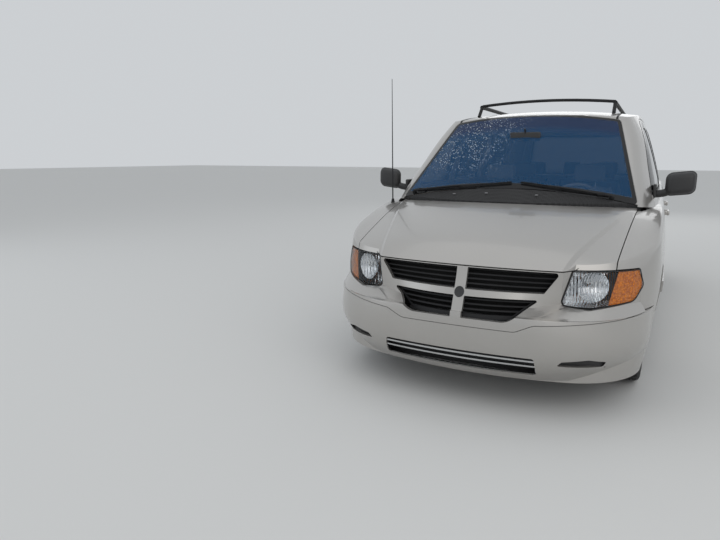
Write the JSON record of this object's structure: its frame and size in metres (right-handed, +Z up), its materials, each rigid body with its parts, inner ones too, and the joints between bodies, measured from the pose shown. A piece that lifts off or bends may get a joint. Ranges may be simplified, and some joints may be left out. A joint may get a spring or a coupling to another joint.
{
  "type": "minivan",
  "caption": "Passenger van with a sloping nose, hinged front doors, hood and liftgate, steered front wheels and a hollow cabin with rows of seats.",
  "frame": {"origin": "centre of the bounding box's base, on the road", "axes": "+X to the vehicle's left, -Y forwards (the front faces -Y), +Z up"},
  "size_m": [2.236, 5.0916, 1.9148],
  "materials": {
    "paint": "metallic silver, gloss",
    "glass": "clear tinted",
    "black_plastic": "satin",
    "lamp_lens": "clear",
    "lamp_bowl": "polished",
    "red_lens": "gloss",
    "floor_metal": "satin",
    "engine_metal": "rough",
    "chassis_metal": "satin black",
    "exhaust_steel": "dull",
    "radiator_metal": "dull",
    "tank_plastic": "satin",
    "tyre_rubber": "matte",
    "rim_alloy": "painted silver",
    "trim_grey": "grained",
    "seat_fabric": "woven",
    "rack_bar": "satin black"
  },
  "bodies": {
    "chassis": {"body_side_left": "paint", "body_side_right": "paint", "sliding_door_left": "paint", "sliding_door_right": "paint", "side_windows": "glass", "roof_panel": "paint", "windshield": "glass", "front_fascia": "paint", "front_bumper": "paint", "headlamp_lenses": "lamp_lens", "headlamps": "lamp_bowl", "grille": "black_plastic", "lower_grille": "black_plastic", "front_fenders": "paint", "cowl_panel": "black_plastic", "rear_bumper": "paint", "tail_lamps": "red_lens", "floor_pan": "floor_metal", "engine_bay": "floor_metal", "radiator": "radiator_metal", "engine": "engine_metal", "fuel_tank": "tank_plastic", "front_subframe": "chassis_metal", "rear_axle": "chassis_metal", "exhaust": "exhaust_steel", "dashboard": "trim_grey", "steering_column": "trim_grey", "front_seats": "seat_fabric", "middle_seats": "seat_fabric", "rear_bench": "seat_fabric", "roof_rack": "rack_bar", "antenna": "black_plastic", "wipers": "black_plastic"},
    "hood": {"hood": "paint"},
    "front_door_left": {"front_door_left": "paint", "front_door_glass_left": "glass", "mirror_left": "black_plastic"},
    "front_door_right": {"front_door_right": "paint", "front_door_glass_right": "glass", "mirror_right": "black_plastic"},
    "liftgate": {"liftgate": "paint", "liftgate_glass": "glass"},
    "fuel_door": {"fuel_door": "paint"},
    "steering_wheel": {"steering_wheel": "trim_grey"},
    "knuckle_left": {"knuckle_left": "chassis_metal"},
    "knuckle_right": {"knuckle_right": "chassis_metal"},
    "wheel_front_left": {"tyre_front_left": "tyre_rubber", "rim_front_left": "rim_alloy"},
    "wheel_front_right": {"tyre_front_right": "tyre_rubber", "rim_front_right": "rim_alloy"},
    "wheel_rear_left": {"tyre_rear_left": "tyre_rubber", "rim_rear_left": "rim_alloy"},
    "wheel_rear_right": {"tyre_rear_right": "tyre_rubber", "rim_rear_right": "rim_alloy"}
  },
  "joints": [
    {"name": "hood_hinge", "type": "hinge", "parent": "chassis", "child": "hood", "pos_m": [0, -1.3505, 1.07], "axis": [-1, 0, 0], "range_deg": [0, 52]},
    {"name": "front_door_left_hinge", "type": "hinge", "parent": "chassis", "child": "front_door_left", "pos_m": [0.979, -1.1065, 0.9], "axis": [0.0698, 0, -0.9976], "range_deg": [0, 62]},
    {"name": "front_door_right_hinge", "type": "hinge", "parent": "chassis", "child": "front_door_right", "pos_m": [-0.979, -1.1065, 0.9], "axis": [0.0698, 0, 0.9976], "range_deg": [0, 62]},
    {"name": "liftgate_hinge", "type": "hinge", "parent": "chassis", "child": "liftgate", "pos_m": [0, 2.27, 1.687], "axis": [1, 0, 0], "range_deg": [0, 80]},
    {"name": "fuel_door_hinge", "type": "hinge", "parent": "chassis", "child": "fuel_door", "pos_m": [0.962, 1.7835, 0.935], "axis": [0, 0, -1], "range_deg": [0, 90]},
    {"name": "steer_left", "type": "hinge", "parent": "chassis", "child": "knuckle_left", "pos_m": [0.712, -1.5715, 0.2], "axis": [-0.1698, 0, 0.9855], "range_deg": [-32, 32]},
    {"name": "steer_right", "type": "hinge", "parent": "chassis", "child": "knuckle_right", "pos_m": [-0.712, -1.5715, 0.2], "axis": [0.1698, 0, 0.9855], "range_deg": [-32, 32]},
    {"name": "steering_wheel_turn", "type": "hinge", "parent": "chassis", "child": "steering_wheel", "pos_m": [0.37, -0.7565, 0.985], "axis": [0, 0.9136, 0.4067], "range_deg": [-512, 512]},
    {"name": "spin_front_left", "type": "hinge", "parent": "knuckle_left", "child": "wheel_front_left", "pos_m": [0.8, -1.5715, 0.343], "axis": [1, 0, 0], "continuous": true},
    {"name": "spin_front_right", "type": "hinge", "parent": "knuckle_right", "child": "wheel_front_right", "pos_m": [-0.8, -1.5715, 0.343], "axis": [1, 0, 0], "continuous": true},
    {"name": "spin_rear_left", "type": "hinge", "parent": "chassis", "child": "wheel_rear_left", "pos_m": [0.813, 1.4585, 0.343], "axis": [1, 0, 0], "continuous": true},
    {"name": "spin_rear_right", "type": "hinge", "parent": "chassis", "child": "wheel_rear_right", "pos_m": [-0.813, 1.4585, 0.343], "axis": [1, 0, 0], "continuous": true}
  ],
  "couplings": [
    {"joint": "steer_right", "follows": "steer_left", "ratio": 1},
    {"joint": "steering_wheel_turn", "follows": "steer_left", "ratio": 16}
  ]
}
